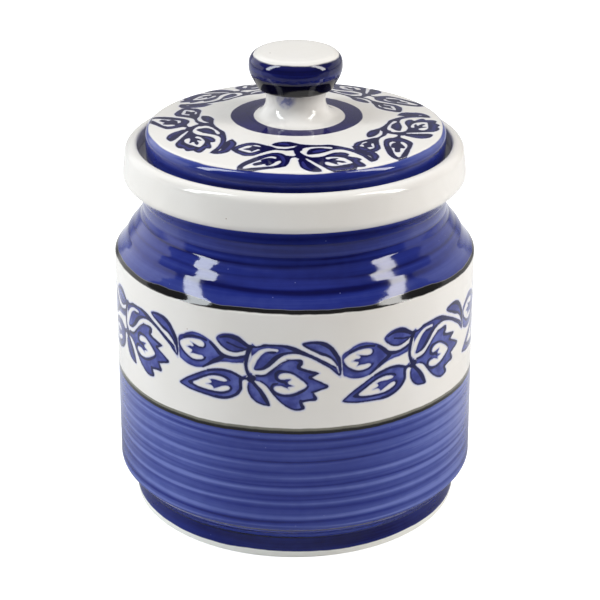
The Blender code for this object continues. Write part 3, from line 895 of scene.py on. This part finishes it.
def edged(tree, place, colour):
    """Paints the cobalt round the lid's edge over a colour, with painted light at its sides towards the
    top.
    """
    parts, height = parts_of(tree, place)
    pooled = kept_value(tree, "pooled")
    # Painted light: the edge's blue is lighter at the sides, where the side lamps fall.
    aside = rise(tree, calc(tree, "ABSOLUTE", parts["X"]), *EDGE_THIN)
    thin = times(tree, aside, rise(tree, height, *EDGE_THIN_UP))
    blue = cobalt(tree, plus(tree, brushed(tree, place, pooled), thin))
    edge = rise(tree, away_from(tree, place, *EDGE_PAINT[1:]), EDGE_PAINT[0] - 0.1, EDGE_PAINT[0] + 0.3)
    above_rest = calc(tree, "GREATER_THAN", height, REST_EDGE)
    return mix(tree, times(tree, edge, above_rest), colour, blue)


def lid_glaze():
    """White glaze with a brushed cobalt edge and ring, and bare clay where the lid rests."""
    material, tree = new_material("lid_glaze")
    coords = add(tree, "TexCoord")
    place = coords.outputs["Object"]
    height = parts_of(tree, place)[1]
    up = parts_of(tree, coords.outputs["Normal"])[0]["Z"]

    colour = edged(tree, place, white_glaze(tree, place))
    colour = mix(tree, calc(tree, "GREATER_THAN", up, 0.5), colour, ringed(tree, place, colour))
    shader = glossy(tree, place, colour)
    below = calc(tree, "LESS_THAN", height, REST_EDGE)
    rest = times(tree, calc(tree, "LESS_THAN", up, -0.5), below)
    unglazed(tree, place, shader, rest)
    return material


def lid_outside(point):
    return point.z > DOME_FOOT or (point.x > RIM_INSIDE_RADIUS and point.z > RIM_FOOT)


lid = turned_piece(LID_CORNERS, lid_outside, "glazed_lid", lid_glaze())
points = points_of(lid)
radius, angle = round_axis(points)
on_edge = (radius > RIM_RINGS_RADIUS) & (points[:, 2] > RIM_FOOT)
depth, pooled = throwing_rings(angle, points[:, 2], LID_RINGS)
move_out(points, radius, -np.where(on_edge, depth, 0.0))
on_top = (points[:, 2] > DOME_EDGE) & (radius < LID_BREAK)
points[:, 2] = np.where(on_top, lid_top(radius), points[:, 2])
shown = points[:, 2] > DOME_FOOT
order = np.argsort(radius[shown])
lid_profile = radius[shown][order], points[shown][:, 2][order]
points[:, 0] += LID_ASIDE
move_points(lid, points)
keep_values(lid, "pooled", np.where(on_edge, pooled, 0.0))
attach(lid, "lid")
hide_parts("lid")


# Printed sprays on the lid
# Five single flowers of the same print, laid by hand round the ring, so no two sit quite alike.
# Each is a thin skin on the dome, inked darker than the border.
# The knot's place in the drawing below, how far the drawing reaches from it, and the inner and outer
# radius of the skins, in mm.
SPRAY_CENTRE = (1.0, -37.5)
SPRAY_LEFT, SPRAY_RIGHT = -22.8, 26.4
SPRAY_LOW, SPRAY_TOP = -14.0, 12.0
SPRAY_RADII = (24.6, 50.1)
SPRAY_BLUES = ((46, 47, 110), (36, 37, 96), (28, 28, 80))
SPRAY_LINES = ((10, 9, 48), (24, 22, 74))
SPRAY_HALO = 0.3
# Angle of the spray's knot from the front, its distance from the axis in mm, the turn of the print,
# and how far its transfer was stretched lengthways and across.
SPRAY_PLACES = (
    (2.4, 37.5, -0.2, 1.0, 1.0),
    (-74.7, 35.8, -66.8, 1.06, 0.90),
    (66.2, 37.8, 66.2, 1.04, 0.85),
    (138.0, 38.0, 133.0, 1.0, 0.92),
    (-148.0, 38.6, -141.0, 1.0, 0.92),
)
# Inked shapes as the front spray lies: across, and up from the lid's middle, in mm.
SPRAY_SHAPES = (
    (-20.9, -30.7, -20, -29.2, -18.5, -28, -17, -27, -15.3, -26.5, -13.8, -26.6, -12.5, -27.3, -11, -28.2,
     -9.5, -29.2, -8, -30, -7, -31, -6, -31.7, -4.5, -32, -3, -32, -1.8, -31.5, -0.6, -31, 0, -30.3,
     1.6, -31, 1.6, -33.5, -0.9, -33.3, -1.5, -33.2, -3, -33.4, -4.5, -33.1, -6.5, -32.7, -8, -33,
     -9.5, -33.7, -11, -34.6, -12.5, -35.7, -13.6, -36.4, -15, -36.5, -16.7, -36.2, -17.5, -35.5,
     -19, -34, -20.2, -32.3),
    (-7.8, -28.9, -7.5, -28, -6.5, -27.2, -5, -26.7, -3.5, -26.6, -2, -26.8, -0.8, -27.5, 0.3, -28.2,
     1.5, -28.7, 3, -29, 2, -29.6, 0.4, -29.6, -0.5, -29.8, -2, -30.3, -3.5, -30.5, -5, -30.3, -6.5, -29.8),
    (-18.6, -45, -18.3, -43.5, -17.3, -41.8, -16, -40.3, -14.5, -39, -13, -37.8, -11.5, -36.8, -10, -35.9,
     -8.5, -35.2, -7.3, -34.8, -6, -34.8, -4.8, -35.3, -4, -36, -3.3, -36.8, -2.2, -37.3, -1, -37.4,
     0, -37.3, 1.5, -37.6, 1.2, -38.6, -0.3, -38.3, -1.6, -38.9, -2, -40, -2.2, -41.5, -2.6, -43,
     -3.3, -44.5, -4.3, -45.1, -5.5, -45.5, -7.5, -46, -9.5, -46.4, -11.5, -46.9, -13.5, -47.3,
     -15, -47.6, -16.5, -47.9, -17.8, -47.4, -18.5, -46.5),
    (-0.8, -33.5, -0.5, -35.5, -0.2, -36.6, -0.5, -37.3, 0.2, -38.8, 1.3, -39.3, 2.8, -39.2, 4.5, -38,
     4.5, -38, 3.3, -37.4, 2.2, -36.2, 1.3, -34.8, 1.2, -33.8, 2, -32, 3.2, -31, 3.2, -31, 2.4, -29.4,
     -0.2, -30.2),
    (-1, -27.5, 0.5, -28.1, 2, -28.7, 4, -29, 6, -29, 8, -28.9, 10, -28.5, 11.5, -28.6, 13, -29,
     15, -29.7, 17, -30.5, 19, -31.7, 20.5, -32.8, 22, -34.3, 23.3, -36.2, 23.8, -37, 23.7, -39.7,
     23.7, -39.7, 23.2, -39.4, 22.5, -38.4, 21.7, -37, 20.5, -35.5, 19, -34.1, 17.5, -33, 16, -32.2,
     14.5, -31.7, 13, -31.8, 11.5, -32.4, 10, -33.5, 8.5, -34.6, 7, -35.4, 5, -36, 3.9, -36.2, 3.4, -35.8,
     3.3, -34.8, 3.7, -33.5, 4.3, -32.3, 5.3, -31.7, 7, -31.2, 8.5, -31.2, 10, -31.5, 11.2, -31.5,
     11.6, -30.9, 11, -30.2, 9, -30.1, 7, -30.3, 5, -30.5, 3.3, -31, 1.6, -30.6, 0.6, -29.6),
    (2.8, -37.8, 4, -38.2, 5.5, -38.1, 7.2, -37.8, 8.5, -37.2, 9.7, -36.2, 10.8, -35.2, 12, -34.4,
     13.3, -34, 14.8, -33.9, 16, -34.3, 16.7, -34.9, 16.7, -34.9, 16.6, -35.5, 16.2, -36.4, 16.2, -36.4,
     17.3, -36.8, 18.7, -37.1, 20, -37.6, 20.6, -38.3, 20.2, -39, 19.9, -39.6, 19.9, -39.6, 20.6, -40.5,
     21.3, -41.4, 21.8, -42.5, 21.4, -43.4, 20.5, -43.8, 19.2, -44, 19.2, -44, 18.9, -44.7, 18.7, -45.5,
     18.2, -46.2, 17.2, -46.4, 16.2, -46.3, 16.2, -46.3, 15.5, -46.6, 15.2, -47.2, 14.5, -47.7, 13, -47.9,
     11.5, -47.6, 10.2, -46.9, 9.2, -45.8, 8.2, -44.6, 7, -43.3, 5.7, -41.7, 4.5, -40.3, 3.4, -39.2,
     2.9, -38.5),
    (1.3, -39, 0.6, -40.3, 0.7, -41.5, 0.9, -43, 1.2, -44.5, 1.8, -45.9, 2.9, -47.1, 4.2, -48, 5.5, -48.3,
     7, -48.2, 7.8, -47.9, 7.8, -47.9, 7.8, -47, 7.2, -45.8, 6, -44.2, 4.8, -42.6, 3.8, -41.1, 3, -39.9,
     2.6, -39),
    (17.85, -28.6, 21, -28.5, 23, -29.75, 24.5, -31.75, 25.75, -33.5, 26.25, -35.5, 25.75, -37.5,
     25, -38.85, 23.7, -39.7, 23.7, -39.7, 23.75, -36, 22, -34.75, 20, -33, 18.5, -31, 17.85, -29),
)
# Places left white inside them.
SPRAY_WHITES = (
    (-18.6, -31, -17.5, -30, -16.5, -29.2, -15.3, -28.7, -14.5, -28.8, -13.5, -28.6, -12.4, -28.8,
     -11.6, -29.4, -11.4, -30.2, -12.2, -29.9, -13.3, -29.4, -14.1, -28.9, -14.1, -28.9, -14.7, -30.2,
     -16, -30.7, -17.1, -31.2, -17.1, -31.2, -16, -31.9, -14.7, -32.6, -14.2, -33.4, -14.2, -33.4,
     -13.4, -32.6, -12.2, -31.8, -11.6, -32.3, -11.6, -32.6, -12.8, -33.4, -14, -34.1, -15, -34.1,
     -16.3, -33.3, -17.5, -32.4),
    (-16.7, -45.4, -16.6, -44.3, -15.6, -43, -14.3, -41.9, -13, -40.9, -11.8, -40, -10.8, -39, -9.5, -38,
     -8.3, -37.4, -7.2, -37.5, -6.3, -38.2, -6.5, -39.2, -7, -39, -7.8, -38.6, -9, -38.6, -10.2, -39,
     -11.2, -39.8, -11, -40.8, -12, -41.3, -13.3, -42, -13.7, -42.8, -13, -43.7, -11.8, -43.4,
     -10.5, -42.9, -9.8, -42.9, -9.5, -43.8, -8.6, -43.9, -7.6, -43, -6.8, -41.8, -6, -40.9, -5.2, -40.6,
     -4.8, -41.3, -5.1, -42.4, -5.9, -43.5, -7, -44.2, -8.5, -44.6, -10, -44.7, -12, -45, -14, -45.2,
     -15.5, -45.5),
    (17.7, -41.2, 17.3, -40.2, 16.5, -39.2, 15.6, -38.3, 14.5, -37.7, 13, -37.4, 11.5, -37.4, 10, -37.7,
     9.2, -38.3, 9.4, -39.2, 10.2, -39.3, 11.2, -38.7, 12.3, -38.3, 13.3, -38.5, 12.5, -39.2, 12.4, -39.8,
     13.5, -39.9, 15, -40.3, 15.6, -41.2, 15.6, -41.2, 14.5, -41.4, 13.2, -41.1, 12.7, -41.6, 13.1, -42.6,
     13.1, -43, 13.1, -43, 12.3, -42.6, 11.2, -41.9, 10.2, -41.3, 9.3, -41.2, 8.9, -41.9, 9.1, -42.9,
     10, -43.7, 11.2, -44, 12.5, -43.9, 13.8, -43.4, 15.2, -42.7, 16.5, -42.1),
)
# Strokes in which the wash shows between the inked edges: across, up and width.
SPRAY_WASHES = (
    (-5.5, -28.2, 0.8, -4, -28.2, 1.4, -2.5, -29, 0.8),
    (5.5, -34.2, 1, 7, -33.5, 1.8, 9, -32.6, 1),
    (2, -41.5, 0.7, 2.3, -43.5, 1.3, 3, -45.5, 1.3, 4.5, -47, 0.8),
    (13, -30.6, 0.5, 16, -31.3, 0.9, 19, -33, 0.9, 22, -36, 0.8),
    (19, -29.8, 0.8, 21, -30, 1.4, 23.2, -32, 1.5, 24.8, -34.5, 1.3, 24.8, -37, 0.8),
    (11, -36.3, 0.6, 13.5, -35.3, 1.1, 15.4, -35.2, 0.9),
    (16.6, -37.8, 0.8, 18.8, -38.2, 1, 18.6, -40, 1.2, 20, -42.4, 1.2),
    (17.5, -43.4, 1.1, 16.8, -45, 1.2, 14, -45.6, 1.3, 12, -46.4, 1.2, 10, -45, 0.7),
    (-19.6, -31, 0.5, -18.3, -29.2, 0.7, -15.5, -27.6, 0.8, -13, -27.9, 0.6),
    (-18.5, -33, 0.6, -16.8, -35, 0.9, -14.5, -35.4, 0.9, -12, -34.2, 0.6),
    (-11, -37.8, 0.6, -8, -36, 0.9, -5.6, -36.4, 1, -4.4, -38.5, 1.1, -3.9, -41.5, 1, -4.4, -43.6, 0.8),
)


def spray_gaps(across, up):
    """Distances to the inked area and to its dark part, in mm."""
    across, up = across + SPRAY_CENTRE[0], up + SPRAY_CENTRE[1]
    ink = least_gap(across, up, SPRAY_SHAPES, 2)
    ink = np.maximum(ink, -least_gap(across, up, SPRAY_WHITES, 2))
    return ink, np.maximum(ink, -least_gap(across, up, SPRAY_WASHES, 3))


spray_material = printed_glaze("spray_print", SPRAY_BLUES, SPRAY_LINES, SPRAY_HALO, edged)
sprays = len(SPRAY_PLACES)
wide = math.ceil(math.tau / sprays * SPRAY_RADII[1] / PRINT_GRID)
high = math.ceil((SPRAY_RADII[1] - SPRAY_RADII[0]) / PRINT_GRID)
for number in range(sprays):
    spray = skin(f"printed_spray_{number + 1}", wide, high, spray_material)
    points = points_of(spray)
    angle = math.tau * (number + points[:, 0]) / sprays
    out = SPRAY_RADII[0] + (points[:, 1] + 0.5) * (SPRAY_RADII[1] - SPRAY_RADII[0])
    x, y = out * np.sin(angle) + LID_ASIDE / MM, -out * np.cos(angle)
    ink = np.full(len(x), FAR)
    dark = np.full(len(x), FAR)
    for knot_angle, knot_radius, turn, lengthways, sideways in SPRAY_PLACES:
        at, lean = math.radians(knot_angle), math.radians(turn)
        right, back = x - knot_radius * math.sin(at), y + knot_radius * math.cos(at)
        across = (right * math.cos(lean) + back * math.sin(lean)) / lengthways
        up = (back * math.cos(lean) - right * math.sin(lean)) / sideways
        near = (across > SPRAY_LEFT) & (across < SPRAY_RIGHT) & (up > SPRAY_LOW) & (up < SPRAY_TOP)
        if near.any():
            near_ink, near_dark = spray_gaps(across[near], up[near])
            ink[near], dark[near] = np.minimum(ink[near], near_ink), np.minimum(dark[near], near_dark)
    keep_values(spray, "wash", ink)
    keep_values(spray, "dark", dark)
    top = np.interp(out * MM, *lid_profile) + feathered(points)
    move_points(spray, np.stack((x * MM, y * MM, top), axis=1))
    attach(spray, "lid")


# Knob
# A mushroom knob turned by itself and fixed on the lid with slip, which is smoothed into a flare.
# White glaze, with cobalt brushed round the head, pooled black-blue along its lower edge.
KNOB_CORNERS = (
    (0, 0.13765, 0),
    (0.0160, 0.13765, 0),
    (0.0099, 0.1383, 0.0052),
    (0.0101, 0.1470, 0.0008),
    (0.0125, 0.1470, 0.0010),
    (0.0157, 0.1530, 0.0060),
    (0.0154, 0.15925, 0.0038),
    (0.0090, 0.15955, 0.0400),
    (0, 0.15955, 0),
)
# The head's blue lies between two heights in mm, and pools towards its lower and upper edge.
HEAD_PAINT = (146.7, 158.4)
HEAD_POOLS = ((153.2, 151.0, 0.22, 0.62), (154.8, 156.4, 0.22, 0.28))
HEAD_WANDER = (90, 2, 0.9)
HEAD_CONTRAST = 1.5
# A smear of the blue on the waist: its place and how far it reaches in mm, and how patchy it is.
SMEAR_PLACE = (-3.0, -9.4, 145.6)
SMEAR_REACH = (4.2, 1.8)
SMEAR_CLOUDS = (500, 3)
SMEAR_PATCHES = (0.35, 0.6, 0.4, 0.9)
SMEAR_BLUE = (112, 116, 170)
# How much the head rises for each metre to the back, the height from which it does, and the height
# over which that grows.
HEAD_TILT = 0.028
TILT_START = 0.148
TILT_BLEND = 0.010


def knob_glaze():
    """White glaze with cobalt brushed round the head."""
    material, tree = new_material("knob_glaze")
    place = add(tree, "TexCoord").outputs["Object"]
    parts, height = parts_of(tree, place)
    tilt = times(tree, parts["Y"], HEAD_TILT / MM)
    wander = drift(tree, scaled(tree, place, (1, 1, 0)), *HEAD_WANDER)
    hand = calc(tree, "SUBTRACT", plus(tree, height, wander), tilt)
    pooled = calc(tree, "MAXIMUM", *(rise(tree, hand, *limits) for limits in HEAD_POOLS))
    blue = cobalt(tree, brushed(tree, place, pooled, HEAD_CONTRAST))
    band = times(tree, rise(tree, hand, HEAD_PAINT[0] - 0.2, HEAD_PAINT[0] + 0.2),
                 rise(tree, hand, HEAD_PAINT[1] + 0.3, HEAD_PAINT[1] - 0.2))
    white = ringed(tree, place, white_glaze(tree, place))
    near = rise(tree, gap_from(tree, place, (1 / MM, 1 / MM, 1 / MM), SMEAR_PLACE), *SMEAR_REACH)
    smear = times(tree, near, rise(tree, cloud(tree, place, *SMEAR_CLOUDS), *SMEAR_PATCHES))
    white = mix(tree, smear, white, screen(*SMEAR_BLUE))
    glossy(tree, place, mix(tree, band, white, blue))
    return material


knob = turned_piece(KNOB_CORNERS, lambda point: True, "glazed_knob", knob_glaze())
points = points_of(knob)
points[:, 2] += HEAD_TILT * points[:, 1] * np.clip((points[:, 2] - TILT_START) / TILT_BLEND, 0, 1)
points[:, 0] += LID_ASIDE
move_points(knob, points)
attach(knob, "lid")
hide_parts("lid_knob")


# Studio
# A white sweep under the jar, two tall soft lamps at the sides and a bright wall behind.
# The room in front is darker, as in a studio, so that the gloss keeps its depth.
FLOOR_REACH = 3.0
FLOOR_FRONT = 0.42
FLOOR_WHITE = (0.80, 0.80, 0.80, 1.0)
FLOOR_IN_GLOSS = (0.40, 0.40, 0.40, 1.0)
FLOOR_GLOW = 0.62
FLOOR_ROUGHNESS = 0.9
# The gloss shows the floor with painted shade in front of the jar, by Y in metres, and close to it, by
# metres from its axis, and far off it shows a little of the floor's glow.
GLOSS_DARK_FRONT = (0.03, -0.06)
GLOSS_DARK_NEAR = (0.11, 0.07)
GLOSS_GLOW_FAR = (0.065, 0.15, 0.0, 0.04)
LAMP_ANGLE = math.radians(72)
LAMP_RISE = math.radians(39)
LAMP_DISTANCE = 1.20
LAMP_SIZE = (0.23, 1.10)
LAMP_WATTS = 11.2
LAMP_HEIGHT = 0.08
LAMP_COLOURS = {-1: (0.91, 0.965, 1.0), 1: (1.0, 0.985, 0.955)}
# The bright wall behind, by the direction it is seen in: from and to, and how bright at each.
BACK_WALL = (("Y", 0.86, 0.76, 0.0, 1.0), ("Z", 0.85, 0.65, 0.0, 1.1), ("X", -0.1, 0.1, 1.0, 0.55))
# Its near edge leans back with height and is soft. The ceiling and the rest of the room are fainter.
WALL_LEAN = (0.33, 0.45, -0.12, 0.30)
WALL_SOFT = (0.0, 0.08)
CEILING = (0.50, 0.90, 0.0, 0.16)
ROOM = (-0.2, 0.6, 0.12, 0.34)
CAMERA_PLACE = (0, -0.5681, 0.3178)
CAMERA_TILT = math.radians(90 - 23.6)
CAMERA_TURN = math.radians(-0.1846)
CAMERA_LENS = 106.2
CAMERA_SENSOR = 36

bm = bmesh.new()
bmesh.ops.create_grid(bm, x_segments=1, y_segments=1, size=FLOOR_REACH)
bmesh.ops.translate(bm, verts=bm.verts, vec=(0, FLOOR_REACH - FLOOR_FRONT, 0))
material, tree = new_material("white_sweep")
shader = tree.nodes["Principled BSDF"].inputs
shader["Roughness"].default_value = FLOOR_ROUGHNESS
shader["Specular IOR Level"].default_value = 0.0
rays = add(tree, "LightPath").outputs
place = add(tree, "TexCoord").outputs["Object"]
spot = gap_from(tree, place, (1, 1, 1), (0, 0, 0))
in_front = rise(tree, parts_of(tree, place)[0]["Y"], *GLOSS_DARK_FRONT)
near = rise(tree, spot, *GLOSS_DARK_NEAR)
# Painted shade: the floor darker near and in front of the jar, as the gloss shows it.
dark = times(tree, rays["Is Glossy Ray"], calc(tree, "MAXIMUM", in_front, near))
tree.links.new(mix(tree, dark, FLOOR_WHITE, FLOOR_IN_GLOSS), shader["Base Color"])
mirrored = times(tree, rays["Is Glossy Ray"], rise(tree, spot, *GLOSS_GLOW_FAR))
seen = calc(tree, "MAXIMUM", times(tree, rays["Is Camera Ray"], FLOOR_GLOW), mirrored)
shader["Emission Color"].default_value = (1, 1, 1, 1)
tree.links.new(seen, shader["Emission Strength"])
floor = piece_from(bm, "white_sweep", material)

for side in (-1, 1):
    data = bpy.data.lights.new("side_lamp", "AREA")
    data.shape = "RECTANGLE"
    data.size, data.size_y = LAMP_SIZE
    data.energy = LAMP_WATTS
    data.color = LAMP_COLOURS[side]
    lamp = bpy.data.objects.new("side_lamp", data)
    away = LAMP_DISTANCE * math.cos(LAMP_RISE)
    lamp.location = (side * away * math.sin(LAMP_ANGLE), -away * math.cos(LAMP_ANGLE),
                     LAMP_HEIGHT + LAMP_DISTANCE * math.sin(LAMP_RISE))
    lamp.rotation_euler = (math.radians(90) - LAMP_RISE, 0, side * LAMP_ANGLE)
    bpy.context.collection.objects.link(lamp)

world = bpy.data.worlds.new("studio")
world.use_nodes = True
tree = world.node_tree
way = parts_of(tree, add(tree, "TexCoord").outputs["Generated"])[0]
near_edge = rise(tree, way["Z"], *WALL_LEAN)
wall = rise(tree, calc(tree, "SUBTRACT", way["Y"], near_edge), *WALL_SOFT)
for axis, *limits in BACK_WALL:
    wall = times(tree, wall, rise(tree, way[axis], *limits))
room = plus(tree, rise(tree, way["Y"], *ROOM), rise(tree, way["Z"], *CEILING))
level = calc(tree, "MAXIMUM", plus(tree, wall, room), add(tree, "LightPath").outputs["Is Camera Ray"])
tree.links.new(level, tree.nodes["Background"].inputs["Strength"])
tree.nodes["Background"].inputs["Color"].default_value = (1, 1, 1, 1)
bpy.context.scene.world = world
bpy.context.scene.view_settings.view_transform = "Standard"

data = bpy.data.cameras.new("camera")
data.lens = CAMERA_LENS
data.sensor_width = CAMERA_SENSOR
camera = bpy.data.objects.new("camera", data)
camera.location = CAMERA_PLACE
camera.rotation_euler = (CAMERA_TILT, 0, CAMERA_TURN)
bpy.context.collection.objects.link(camera)
bpy.context.scene.camera = camera
